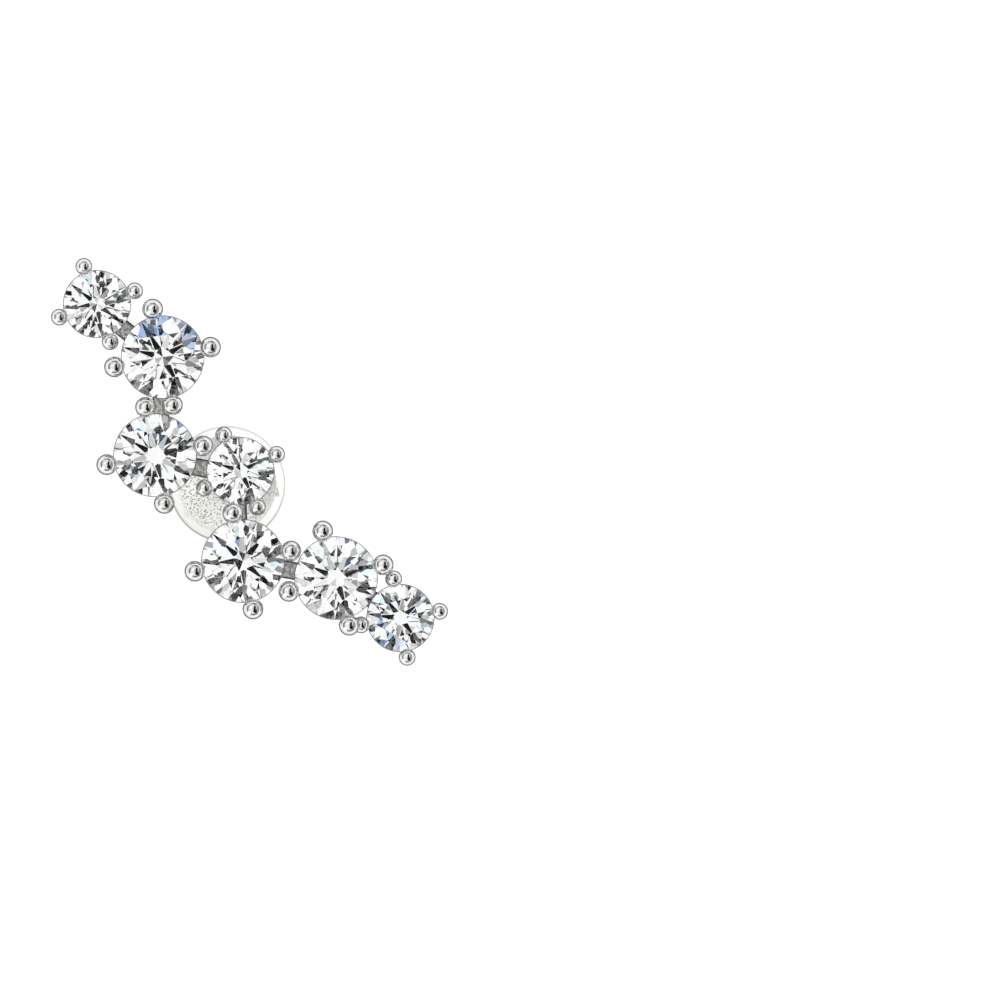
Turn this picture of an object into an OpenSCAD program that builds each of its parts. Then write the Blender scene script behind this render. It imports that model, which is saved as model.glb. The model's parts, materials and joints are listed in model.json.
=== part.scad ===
// Crystal ear climber for the left ear: seven round stones in four-claw baskets with ball tips,
// joined at the back by flat link bars, on a straight ear post with a soft disc and a nut.
// Millimetres, +Z up. It lies by itself on the surface z = 0, on two claws and the disc's rim,
// with the stones facing -Y and the row of baskets running along X.

/* [Stones] */
// Diameter of the large round stones
large_d = 4; // [3.5:0.05:4.5]
// Diameter of the small round stones
small_d = 3.25; // [2.9:0.05:3.5]
// Table width as a share of the stone's diameter
table_share = 0.57; // [0.52:0.01:0.62]
// Slope of the crown's main facets, in degrees
crown_deg = 34.5; // [32:0.5:36]
// Slope of the pavilion's main facets, in degrees
pavilion_deg = 41; // [40:0.25:42]
// Thickness of the girdle as a share of the diameter
girdle_share = 0.03; // [0.02:0.005:0.04]
// Length of the star facets as a share of the crown's width
star_share = 0.5; // [0.45:0.01:0.6]
// Length of the lower half facets as a share of the pavilion's width
half_share = 0.77; // [0.7:0.01:0.85]

/* [Baskets] */
// Height of each culet above the flat back of the baskets
culet_h = 0.65; // [0.62:0.01:0.8]
// Distance of the ball tips from the stone's axis, as a share of the stone's radius
claw_share = 1.195; // [1.18:0.005:1.22]
// Radius of the ball tips as a share of the stone's radius
ball_share = 0.255; // [0.24:0.005:0.27]
// Height of the ball tips' centres above the girdle, as a share of the stone's radius
ball_lift_share = 0.18; // [0.16:0.01:0.2]
// Radius of the claw wires as a share of the stone's radius
wire_share = 0.115; // [0.1:0.005:0.13]
// Clearance between a stone and the seat that is cut for it
seat_gap = 0.06; // [0.05:0.01:0.08]

/* [Link bars] */
// Width of the flat bars between the baskets
bar_w = 0.95; // [0.7:0.05:1.1]
// Thickness of the flat bars
bar_t = 0.44; // [0.36:0.02:0.48]

/* [Post] */
// Radius of the ear post
post_r = 0.4; // [0.35:0.05:0.45]
// Length of the ear post behind the baskets
post_len = 11; // [10:0.5:12]
// Distance of the post to the right of the middle stone's axis
post_x = -0.7; // [-1:0.02:-0.5]
// Distance of the post above the middle stone's axis
post_y = -0.64; // [-0.8:0.02:-0.3]
// Radius of the round plate that the post is soldered to
pad_r = 0.68; // [0.6:0.02:0.9]

/* [Disc and nut] */
// Clear space for the ear lobe between the baskets and the disc
lobe_gap = 5.4; // [5:0.1:6]
// Radius of the soft disc
disc_r = 2.85; // [2.75:0.05:3.3]
// Radius of the rounded rim bead around the disc
bead_r = 0.45; // [0.35:0.05:0.5]
// Radius of the nut's round base plate
nut_r = 2.45; // [2.4:0.05:2.6]
// Direction of the nut's two wings on the face, in degrees from the horizontal
nut_deg = 13; // [0:1:30]
// Outer radius of the nut's two curled wings
wing_r = 0.95; // [0.85:0.05:1]
// Radial clearance of the disc and the nut on the post
slide_gap = 0.05; // [0.03:0.01:0.08]

/* [Hidden] */

metal = [0.78, 0.78, 0.8];
crystal = [0.9, 0.94, 1];
frosted = [0.93, 0.94, 0.9];

round_fn = 96;
fine_fn = 48;

// Each stone: diameter, place to the right of and above the middle stone's axis,
// direction of its first claw, and how far its facets are turned.
DIAMETER = 0;
RIGHT = 1;
UP = 2;
CLAW_DEG = 3;
SPIN_DEG = 4;
STONES = [
    [small_d, -7.00, 8.15, 19.3, 8],
    [large_d, -3.80, 5.56, 11.6, 31],
    [large_d, -4.17, 0.77, 11.0, 14],
    [small_d, 0.00, 0.00, 24.9, 27],
    [large_d, 0.12, -4.39, 11.9, 3],
    [large_d, 4.66, -5.22, 15.7, 20],
    [small_d, 7.80, -7.17, 9.8, 38]
];
// The two claws that the earring lies on, as stone and claw
LEFT_FOOT = [2, 2];
RIGHT_FOOT = [4, 2];

// Sizes that follow from the stone of a setting
function radius(s) = STONES[s][DIAMETER] / 2;
function crown_h(s) = radius(s) * (1 - table_share) * tan(crown_deg);
function pavilion_h(s) = radius(s) * tan(pavilion_deg);
function girdle_t(s) = 2 * radius(s) * girdle_share;
function girdle_top(s) = culet_h + pavilion_h(s) + girdle_t(s);
function table_h(s) = girdle_top(s) + crown_h(s);
function wire_r(s) = radius(s) * wire_share;
function ball_r(s) = radius(s) * ball_share;
function ball_h(s) = girdle_top(s) + radius(s) * ball_lift_share;

// Centre of one claw's ball, with x to the right, y up the face and z towards the viewer
function claw_deg(s, c) = STONES[s][CLAW_DEG] + 90 * c;
function ball_at(s, c) = [
    STONES[s][RIGHT] + radius(s) * claw_share * cos(claw_deg(s, c)),
    STONES[s][UP] + radius(s) * claw_share * sin(claw_deg(s, c)),
    ball_h(s)
];

// Back of the baskets: base ring, gallery ring and bars
base_wire_r = 0.27;
base_ring_share = 0.53;
gallery_ring_share = 0.81;
gallery_wire_share = 0.12;
gallery_drop_share = 0.41;
bar_back = 0.06;
pad_back = 0.1;
pad_t = 0.36;

// Post, with a chamfered tip and a shallow round friction groove
tip_chamfer = 0.2;
groove_at = 1.6;
groove_d = 0.08;
groove_r = 0.6;

// Disc: a thin web, a round bead at its rim and a thicker hub
disc_t = 2 * bead_r;
disc_web_t = 0.6;
disc_hub_r = 1;
disc_mid = lobe_gap + disc_t / 2;
bore_r = post_r + slide_gap;

// Nut: milled base plate behind the disc, and two wings that curl in to the post
nut_front = lobe_gap + disc_t + 0.05;
plate_t = 0.28;
wing_wall = 0.24;
wing_w = 2.3;
wing_sink = 0.08;
wing_x = bore_r + 0.02 + wing_r;
wing_h = plate_t + wing_r - wing_sink;
wing_mouth = 0.5;
milling_r = 0.09;
milling_n = 60;

// How it lies: the floor touches the two foot claws and the disc's bead
left_foot = ball_at(LEFT_FOOT[0], LEFT_FOOT[1]);
right_foot = ball_at(RIGHT_FOOT[0], RIGHT_FOOT[1]);
foot_r = ball_r(LEFT_FOOT[0]);
roll = atan2(left_foot.y - right_foot.y, right_foot.x - left_foot.x);
function height_up(p) = p.x * sin(roll) + p.y * cos(roll);
bead_rise = height_up([post_x, post_y]) - height_up(left_foot) - (disc_r - bead_r);
bead_run = left_foot.z + disc_mid;
bead_dist = norm([bead_run, bead_rise]);
lean = atan2(bead_rise, bead_run) + asin((foot_r - bead_r) / bead_dist);

// A point of the face as it lies, before the origin is moved under the earring
function along(p) = p.x * cos(roll) - p.y * sin(roll);
function back(p) = height_up(p) * sin(lean) - p.z * cos(lean);
function rise(p) = height_up(p) * cos(lean) + p.z * sin(lean);

balls = [for (s = [0:len(STONES) - 1]) for (c = [0:3]) [ball_at(s, c), ball_r(s)]];
left_end = min([for (b = balls) along(b[0]) - b[1]]);
right_end = max([for (b = balls) along(b[0]) + b[1]]);
front_end = min([for (b = balls) back(b[0]) - b[1]]);
back_end = back([post_x, post_y, -post_len]) + (post_r - tip_chamfer) * sin(lean);
floor_h = rise(left_foot) - foot_r;
middle = [(left_end + right_end) / 2, (front_end + back_end) / 2, floor_h];

// Facets of a round brilliant: eight-fold, with each half facet's edge on the girdle in short steps
FOLD = 8;
STEPS = 4;
RING = FOLD * 2 * STEPS;
main_deg = 360 / FOLD;
half_deg = main_deg / 2;
function polar(r, a, z) = [r * cos(a), r * sin(a), z];
function plane_h(p, q, t, r, a) =
    let (n = cross(q - p, t - p), v = polar(r, a, 0) - p)
    p.z - (n.x * v.x + n.y * v.y) / n.z;
function fold_deg(a) =
    let (m = a - main_deg * floor(a / main_deg))
    min(m, main_deg - m);

// Points of one stone, with the culet's tip at z = 0
function brilliant_points(r) =
    let (
        edge_low = r * tan(pavilion_deg),
        edge_top = edge_low + 2 * r * girdle_share,
        table_r = r * table_share,
        top = edge_top + (r - table_r) * tan(crown_deg),
        star_r = table_r * cos(half_deg) + star_share * (r - table_r * cos(half_deg)),
        star_h = top - (star_r * cos(half_deg) - table_r) * tan(crown_deg),
        low_r = r * (1 - half_share),
        low_h = low_r * cos(half_deg) * tan(pavilion_deg),
        star = polar(star_r, half_deg, star_h),
        low = polar(low_r, half_deg, low_h)
    )
    concat(
        [for (k = [0:FOLD - 1]) polar(table_r, k * main_deg, top)],
        [for (k = [0:FOLD - 1]) polar(star_r, (k + 0.5) * main_deg, star_h)],
        [for (j = [0:RING - 1]) let (a = j * 360 / RING)
            polar(r, a, plane_h(star, polar(r, 0, edge_top), polar(r, half_deg, edge_top), r, fold_deg(a)))],
        [for (j = [0:RING - 1]) let (a = j * 360 / RING)
            polar(r, a, plane_h(low, polar(r, 0, edge_low), polar(r, half_deg, edge_low), r, fold_deg(a)))],
        [for (k = [0:FOLD - 1]) polar(low_r, (k + 0.5) * main_deg, low_h)],
        [[0, 0, 0]]
    );

// Indices of those points, ring by ring
function table_i(k) = k % FOLD;
function star_i(k) = FOLD + (k + FOLD) % FOLD;
function upper_i(j) = 2 * FOLD + j % RING;
function lower_i(j) = 2 * FOLD + RING + j % RING;
function low_i(k) = 2 * FOLD + 2 * RING + (k + FOLD) % FOLD;
CULET_I = 3 * FOLD + 2 * RING;
function reversed(f) = [for (i = [len(f) - 1:-1:0]) f[i]];

// Facets, each listed anticlockwise as it is seen from outside
brilliant_facets = concat(
    [[for (k = [0:FOLD - 1]) table_i(k)]],
    [for (k = [0:FOLD - 1]) [table_i(k), star_i(k), table_i(k + 1)]],
    [for (k = [0:FOLD - 1]) [table_i(k), star_i(k - 1), upper_i(2 * STEPS * k), star_i(k)]],
    [for (k = [0:FOLD - 1]) for (h = [0, STEPS])
        concat([star_i(k)], [for (j = [0:STEPS]) upper_i(2 * STEPS * k + h + j)])],
    [for (j = [0:RING - 1]) [upper_i(j), lower_i(j), lower_i(j + 1), upper_i(j + 1)]],
    [for (k = [0:FOLD - 1]) for (h = [0, STEPS])
        concat([low_i(k)], [for (j = [STEPS:-1:0]) lower_i(2 * STEPS * k + h + j)])],
    [for (k = [0:FOLD - 1]) [CULET_I, low_i(k), lower_i(2 * STEPS * k), low_i(k - 1)]]
);

// Stands the face up, leans it back and sets it down on the floor over the origin
module at_rest() {
    translate(-middle)
        rotate([-lean, 0, 0])
            rotate([0, -roll, 0])
                rotate([90, 0, 0])
                    children();
}

module at_stone(s) {
    translate([STONES[s][RIGHT], STONES[s][UP], 0])
        children();
}

// Solid of one stone's outline grown by the clearance, which cuts the claws' notches and the bearing
module seat_cutter(s) {
    grow = seat_gap / cos(pavilion_deg);
    r = radius(s) + seat_gap;
    low = culet_h + pavilion_h(s);
    rotate_extrude($fn = round_fn)
        polygon([
            [0, culet_h - grow],
            [r, low - grow + seat_gap * tan(pavilion_deg)],
            [r, girdle_top(s) + seat_gap / 2],
            [radius(s) * table_share, table_h(s) + seat_gap],
            [0, table_h(s) + seat_gap]
        ]);
}

// Ring of round wire about the stone's axis
module wire_ring(ring_r, ring_wire_r, h) {
    translate([0, 0, h])
        rotate_extrude($fn = round_fn)
            translate([ring_r, 0])
                circle(r = ring_wire_r, $fn = fine_fn);
}

// One claw: a tapered wire from the base ring out to its ball
module claw(s) {
    foot = [radius(s) * base_ring_share, 0, base_wire_r];
    tip = [radius(s) * claw_share, 0, ball_h(s)];
    span = tip - foot;
    translate(foot)
        rotate([0, atan2(span.x, span.z), 0])
            cylinder(h = norm(span), r1 = wire_r(s) * 1.1, r2 = wire_r(s), $fn = fine_fn);
    translate(tip)
        sphere(r = ball_r(s), $fn = fine_fn);
}

// Four-claw basket with its base ring and gallery ring, notched for the stone
module basket(s) {
    difference() {
        union() {
            for (c = [0:3])
                rotate([0, 0, claw_deg(s, c)])
                    claw(s);
            wire_ring(radius(s) * base_ring_share, base_wire_r, base_wire_r);
            wire_ring(
                radius(s) * gallery_ring_share,
                radius(s) * gallery_wire_share,
                girdle_top(s) - girdle_t(s) - radius(s) * gallery_drop_share
            );
        }
        seat_cutter(s);
    }
}

// Flat bar at the back between two neighbouring baskets
module link_bar(s) {
    from = [STONES[s][RIGHT], STONES[s][UP]];
    to = [STONES[s + 1][RIGHT], STONES[s + 1][UP]];
    span = to - from;
    translate([from.x, from.y, bar_back])
        rotate([0, 0, atan2(span.y, span.x)])
            translate([0, -bar_w / 2, 0])
                cube([norm(span), bar_w, bar_t]);
}

// Straight ear post with a chamfered tip and a friction groove, soldered to a round plate
module ear_post() {
    translate([post_x, post_y, 0]) {
        difference() {
            rotate_extrude($fn = fine_fn)
                polygon([
                    [0, bar_back + bar_t / 2],
                    [post_r, bar_back + bar_t / 2],
                    [post_r, -post_len + tip_chamfer],
                    [post_r - tip_chamfer, -post_len],
                    [0, -post_len]
                ]);
            wire_ring(post_r + groove_r - groove_d, groove_r, -post_len + groove_at);
        }
        translate([0, 0, pad_back])
            cylinder(h = pad_t, r = pad_r, $fn = round_fn);
    }
}

// All the soldered metal: seven baskets, the bars between them and the post
module prong_frame() {
    color(metal)
        at_rest()
            union() {
                for (s = [0:len(STONES) - 1])
                    at_stone(s)
                        basket(s);
                for (s = [0:len(STONES) - 2])
                    link_bar(s);
                ear_post();
            }
}

// Round brilliant with its table towards the viewer
module stone(s) {
    color(crystal)
        at_rest()
            at_stone(s)
                translate([0, 0, culet_h])
                    rotate([0, 0, STONES[s][SPIN_DEG]])
                        polyhedron(
                            points = brilliant_points(radius(s)),
                            faces = [for (f = brilliant_facets) reversed(f)],
                            convexity = 2
                        );
}

// Soft disc with a rounded rim bead and a hub around the post
module clear_disc() {
    color(frosted)
        at_rest()
            translate([post_x, post_y, -disc_mid])
                difference() {
                    union() {
                        wire_ring(disc_r - bead_r, bead_r, 0);
                        cylinder(h = disc_web_t, r = disc_r - bead_r, center = true, $fn = round_fn);
                        cylinder(h = disc_t, r = disc_hub_r, center = true, $fn = fine_fn);
                    }
                    cylinder(h = disc_t * 2, r = bore_r, center = true, $fn = fine_fn);
                }
}

// Base plate of the nut: a round plate that is milled all round its edge
module nut_plate() {
    difference() {
        cylinder(h = plate_t, r = nut_r, $fn = round_fn);
        for (k = [0:milling_n - 1])
            rotate([0, 0, k * 360 / milling_n])
                translate([nut_r + milling_r / 3, 0, -plate_t])
                    cylinder(h = plate_t * 3, r = milling_r, $fn = 24);
    }
}

// Outline of one wing, seen from its side: a ring of sheet that is open next to the post
module wing_outline() {
    difference() {
        circle(r = wing_r, $fn = round_fn);
        circle(r = wing_r - wing_wall, $fn = round_fn);
        translate([-wing_r * 1.5, -wing_r * 1.5])
            square([wing_r * 1.5, wing_r * 1.5 - wing_mouth / 2]);
    }
}

// Friction nut: milled plate with two wings of curled sheet, bored for the post
module ear_nut() {
    color(metal)
        at_rest()
            translate([post_x, post_y, -nut_front])
                rotate([180, 0, 0])
                    rotate([0, 0, -nut_deg])
                        difference() {
                            union() {
                                nut_plate();
                                for (side = [0, 180])
                                    rotate([0, 0, side])
                                        translate([wing_x, wing_w / 2, wing_h])
                                            rotate([90, 0, 0])
                                                linear_extrude(height = wing_w)
                                                    wing_outline();
                            }
                            translate([0, 0, -plate_t])
                                cylinder(h = plate_t * 3, r = bore_r, $fn = fine_fn);
                        }
}

prong_frame();
stone(0);  // stone_1
stone(1);  // stone_2
stone(2);  // stone_3
stone(3);  // stone_4
stone(4);  // stone_5
stone(5);  // stone_6
stone(6);  // stone_7
ear_nut();
clear_disc();
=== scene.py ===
"""Looks of the crystal ear climber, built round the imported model.

The metal, the soft disc and the nut are modelled here in finer form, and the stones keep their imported
shape and get a crystal finish. Lengths are millimetres on the earring's face: x to the right, y up and z
towards the viewer, from the middle stone's axis at the flat back of the baskets. Face turns them into the
frame's metres.
"""

import json
import logging
import math
from collections.abc import Iterator, Sequence
from contextlib import contextmanager
from dataclasses import dataclass
from enum import Enum

import bpy
from mathutils import Matrix, Vector


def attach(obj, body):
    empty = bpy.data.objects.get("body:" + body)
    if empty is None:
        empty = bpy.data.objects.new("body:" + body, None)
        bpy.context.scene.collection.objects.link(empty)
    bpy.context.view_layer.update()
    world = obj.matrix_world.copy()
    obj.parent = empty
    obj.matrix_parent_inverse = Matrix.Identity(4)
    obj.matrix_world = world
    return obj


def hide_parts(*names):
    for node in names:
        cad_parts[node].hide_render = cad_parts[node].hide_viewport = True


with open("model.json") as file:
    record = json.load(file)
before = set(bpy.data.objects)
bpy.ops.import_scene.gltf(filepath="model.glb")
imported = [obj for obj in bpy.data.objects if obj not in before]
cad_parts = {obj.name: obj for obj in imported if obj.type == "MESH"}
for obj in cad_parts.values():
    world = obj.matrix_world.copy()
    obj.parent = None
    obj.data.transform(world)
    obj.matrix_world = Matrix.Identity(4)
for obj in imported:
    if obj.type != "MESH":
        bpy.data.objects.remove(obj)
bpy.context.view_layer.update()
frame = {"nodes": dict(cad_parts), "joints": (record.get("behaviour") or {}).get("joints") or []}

log = logging.getLogger("earring")

MM = 0.001
FRAME_PX = 1000
SENSOR_MM = 36.0
EDGE = "edge"
DOUBLES = 1e-5
NOISE_MIDDLE = 0.5
HORIZON = 0.05

Colour = tuple[float, float, float]
Way = tuple[float, float, float]
Station = tuple[float, float]
Span = tuple[float, float]
Object = bpy.types.Object
Material = bpy.types.Material


class Body(Enum):
    """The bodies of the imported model."""

    EARRING = "earring"
    CLUTCH = "clutch"


class Finish(Enum):
    """The material slots of the record."""

    WHITE_METAL = "white_metal"
    NUT_METAL = "nut_metal"
    CRYSTAL = "crystal"
    FROSTED = "frosted_plastic"


@dataclass(frozen=True)
class Gem:
    """One round stone and the turn of its setting.

    right and up place its axis on the face, claw_deg is the direction of its first claw, and fire is the
    way in which those of its facets face that get blue fire painted into their colour.
    """

    node: str
    diameter: float
    right: float
    up: float
    claw_deg: float
    fire: Way = (0.0, 0.0, 0.0)

    @property
    def radius(self) -> float:
        """Radius of the stone's girdle."""
        return self.diameter / 2

    @property
    def place(self) -> Matrix:
        """The stone's axis on the face."""
        return Matrix.Translation((self.right, self.up, 0))


LARGE_D = 4.0
SMALL_D = 3.25
GEMS = (
    Gem("stone_1", SMALL_D, -7.00, 8.15, 19.3),
    Gem("stone_2", LARGE_D, -3.80, 5.56, 11.6, (0.15, 1.0, 0.5)),
    Gem("stone_3", LARGE_D, -4.17, 0.77, 11.0),
    Gem("stone_4", SMALL_D, 0.00, 0.00, 24.9),
    Gem("stone_5", LARGE_D, 0.12, -4.39, 11.9),
    Gem("stone_6", LARGE_D, 4.66, -5.22, 15.7),
    Gem("stone_7", SMALL_D, 7.80, -7.17, 9.8, (-0.8, -0.6, 0.5)),
)
MIDDLE_GEM = GEMS[3]


@dataclass(frozen=True)
class Cut:
    """Heights of a round brilliant above the flat back, from the shares that its maker cuts to."""

    radius: float
    culet_h: float = 0.65
    table_share: float = 0.57
    crown_deg: float = 34.5
    pavilion_deg: float = 41.0
    girdle_share: float = 0.03

    @property
    def girdle_low(self) -> float:
        """Height of the girdle's lower edge."""
        return self.culet_h + self.radius * math.tan(math.radians(self.pavilion_deg))

    @property
    def girdle_top(self) -> float:
        """Height of the girdle's upper edge."""
        return self.girdle_low + 2 * self.radius * self.girdle_share

    @property
    def table_h(self) -> float:
        """Height of the table."""
        crown_run = self.radius * (1 - self.table_share)
        return self.girdle_top + crown_run * math.tan(math.radians(self.crown_deg))


@dataclass(frozen=True)
class Face:
    """The earring's face as it lies in the frame: to_frame turns its millimetres into metres."""

    to_frame: Matrix

    @classmethod
    def from_frame(cls, nodes: dict[str, Object], post_axis: Sequence[float]) -> "Face":
        """Finds the face from the culets of three stones and the direction of the post.

        Args:
            nodes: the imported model's nodes by name.
            post_axis: the direction in which the post points, away from the viewer.

        Returns:
            The face.
        """
        away = Vector(post_axis).normalized()
        top, bottom = GEMS[0], GEMS[-1]
        first, middle, last = (cls._culet(nodes[gem.node], away) for gem in (top, MIDDLE_GEM, bottom))
        turn = math.atan2(bottom.up - top.up, bottom.right - top.right)
        along = (last - first).normalized()
        across = (-away).cross(along)
        right = math.cos(turn) * along - math.sin(turn) * across
        up = math.sin(turn) * along + math.cos(turn) * across
        origin = middle + away * Cut(MIDDLE_GEM.radius).culet_h * MM
        columns = Matrix((right * MM, up * MM, -away * MM)).transposed().to_4x4()
        return cls(Matrix.Translation(origin) @ columns)

    @staticmethod
    def _culet(stone: Object, away: Vector) -> Vector:
        """The point of a stone that is furthest from the viewer."""
        return max((v.co for v in stone.data.vertices), key=lambda co: co.dot(away)).copy()

    def point(self, right: float, up: float, out: float) -> Vector:
        """A point of the face in the frame."""
        return self.to_frame @ Vector((right, up, out))

    def direction(self, right: float, up: float, out: float) -> Vector:
        """A direction on the face as a unit vector of the frame."""
        return (self.to_frame.to_3x3() @ Vector((right, up, out))).normalized()

    @property
    def axes(self) -> tuple[Vector, Vector, Vector]:
        """The directions to the right, up and out of the face."""
        return self.direction(1, 0, 0), self.direction(0, 1, 0), self.direction(0, 0, 1)


# Workbench: steps of modelling that all pieces share


def choose(*objects: Object) -> Object:
    """Selects only these objects and makes the first active.

    Args:
        objects: the objects, the active one first.

    Returns:
        The active object.
    """
    bpy.ops.object.select_all(action="DESELECT")
    for thing in objects:
        thing.select_set(True)
    bpy.context.view_layer.objects.active = objects[0]
    return objects[0]


def added(name: str) -> Object:
    """Names the primitive that was just added, and returns it."""
    piece = bpy.context.object
    piece.name = name
    return piece


@contextmanager
def editing(piece: Object) -> Iterator[None]:
    """Edit mode on one piece, with all of it selected at the start.

    Args:
        piece: the mesh to edit.

    Yields:
        Nothing; the block holds the edit-mode operators.
    """
    choose(piece)
    bpy.ops.object.mode_set(mode="EDIT")
    bpy.ops.mesh.select_all(action="SELECT")
    yield
    bpy.ops.object.mode_set(mode="OBJECT")


def outward(piece: Object) -> Object:
    """Merges a piece's doubles, turns its faces outwards and returns it."""
    with editing(piece):
        bpy.ops.mesh.remove_doubles(threshold=DOUBLES)
        bpy.ops.mesh.normals_make_consistent(inside=False)
    return piece


def turned(name: str, stations: Sequence[Station], sides: int, pole: bool = False) -> Object:
    """Turns a closed round piece about Z by extruding a disc from station to station.

    Args:
        name: the piece's name.
        stations: height and radius of each ring, from the first disc to the last.
        sides: sides of the round.
        pole: True to draw the last ring together to a point.

    Returns:
        The piece, with its faces outwards.
    """
    height, radius = stations[0]
    bpy.ops.object.select_all(action="DESELECT")
    bpy.ops.mesh.primitive_circle_add(
        vertices=sides, radius=radius, fill_type="NGON", location=(0, 0, 0)
    )
    piece = added(name)
    with editing(piece):
        bpy.ops.transform.translate(value=(0, 0, height))
        for next_height, next_radius in stations[1:]:
            rise = (0, 0, next_height - height)
            bpy.ops.mesh.extrude_region_move(TRANSFORM_OT_translate={"value": rise})
            share = next_radius / radius
            bpy.ops.transform.resize(value=(share, share, 1), center_override=(0, 0, next_height))
            height, radius = next_height, next_radius
        if pole:
            bpy.ops.mesh.merge(type="CENTER")
    return outward(piece)


def arc(
    centre: Station, radius: float, start_deg: float, end_deg: float, steps: int
) -> list[Station]:
    """Stations along a round stretch of a turned profile.

    Args:
        centre: height and distance from the axis of the arc's centre.
        radius: the arc's radius.
        start_deg: where it starts, from outwards towards +Z.
        end_deg: where it ends.
        steps: the number of straight steps.

    Returns:
        steps + 1 stations.
    """
    degrees = [start_deg + (end_deg - start_deg) * i / steps for i in range(steps + 1)]
    return [
        (centre[0] + radius * math.sin(math.radians(d)), centre[1] + radius * math.cos(math.radians(d)))
        for d in degrees
    ]


def modify(piece: Object, kind: str, **settings: object) -> Object:
    """Adds a modifier to a piece, applies it and returns the piece.

    Args:
        piece: the mesh.
        kind: the modifier's type.
        settings: its properties by name.

    Returns:
        The same piece.
    """
    choose(piece)
    modifier = piece.modifiers.new(kind.title(), kind)
    for name, value in settings.items():
        setattr(modifier, name, value)
    bpy.ops.object.modifier_apply(modifier=modifier.name)
    return piece


def combine(piece: Object, other: Object, operation: str) -> Object:
    """Cuts, joins or keeps the common part of a piece and another, which is used up.

    Args:
        piece: the piece to change.
        other: the cutter or the second piece.
        operation: DIFFERENCE, UNION or INTERSECT.

    Returns:
        The changed piece.
    """
    modify(piece, "BOOLEAN", operation=operation, object=other, solver="EXACT")
    bpy.data.objects.remove(other)
    return piece


def copied(piece: Object, name: str) -> Object:
    """A copy of a piece with a mesh of its own.

    Args:
        piece: the piece to copy.
        name: the copy's name.

    Returns:
        The copy.
    """
    choose(piece)
    bpy.ops.object.duplicate(linked=False)
    return added(name)


def placed(piece: Object, place: Matrix) -> Object:
    """Moves a piece to its place, writes that place into its mesh and returns it."""
    piece.matrix_world = place
    choose(piece)
    bpy.ops.object.transform_apply(location=True, rotation=True, scale=True)
    return piece


def turn(degrees: float, axis: str = "Z") -> Matrix:
    """Rotation matrix about one axis."""
    return Matrix.Rotation(math.radians(degrees), 4, axis)


def finished(piece: Object, place: Matrix, sharp_deg: float) -> Object:
    """Puts a piece in the frame and shades it smooth, apart from its sharp edges.

    Args:
        piece: the piece in millimetres.
        place: its place in the frame.
        sharp_deg: the angle from which an edge stays sharp.

    Returns:
        The same piece.
    """
    placed(piece, place)
    bpy.ops.object.shade_smooth_by_angle(angle=math.radians(sharp_deg))
    return piece


# Finishes: materials of nodes


class Wire:
    """A shader socket whose arithmetic adds Math nodes to its tree."""

    def __init__(self, nodes: "Nodes", socket: bpy.types.NodeSocket) -> None:
        """Wraps one output socket of these nodes."""
        self.nodes = nodes
        self.socket = socket

    def _math(self, operation: str, *values: "Wire | float", clamp: bool = False) -> "Wire":
        """Adds a Math node with these values and returns its output."""
        settings = {"operation": operation, "use_clamp": clamp}
        return self.nodes.node("Math", settings, dict(enumerate(values)))

    def __add__(self, other: "Wire | float") -> "Wire":
        """self + other."""
        return self._math("ADD", self, other)

    __radd__ = __add__

    def __sub__(self, other: "Wire | float") -> "Wire":
        """self - other."""
        return self._math("SUBTRACT", self, other)

    def __rsub__(self, other: "Wire | float") -> "Wire":
        """other - self."""
        return self._math("SUBTRACT", other, self)

    def __mul__(self, other: "Wire | float") -> "Wire":
        """self * other."""
        return self._math("MULTIPLY", self, other)

    __rmul__ = __mul__

    def __truediv__(self, other: "Wire | float") -> "Wire":
        """self / other."""
        return self._math("DIVIDE", self, other)

    def __abs__(self) -> "Wire":
        """The size of self without its sign."""
        return self._math("ABSOLUTE", self)

    def sine(self) -> "Wire":
        """The sine of self in radians."""
        return self._math("SINE", self)

    def clamped(self) -> "Wire":
        """self kept between 0 and 1."""
        return self._math("ADD", self, 0.0, clamp=True)

    def ramp(self, start: float, end: float) -> "Wire":
        """0 where self is start, 1 where it is end, even in between and flat past both."""
        return ((self - start) / (end - start)).clamped()


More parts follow.
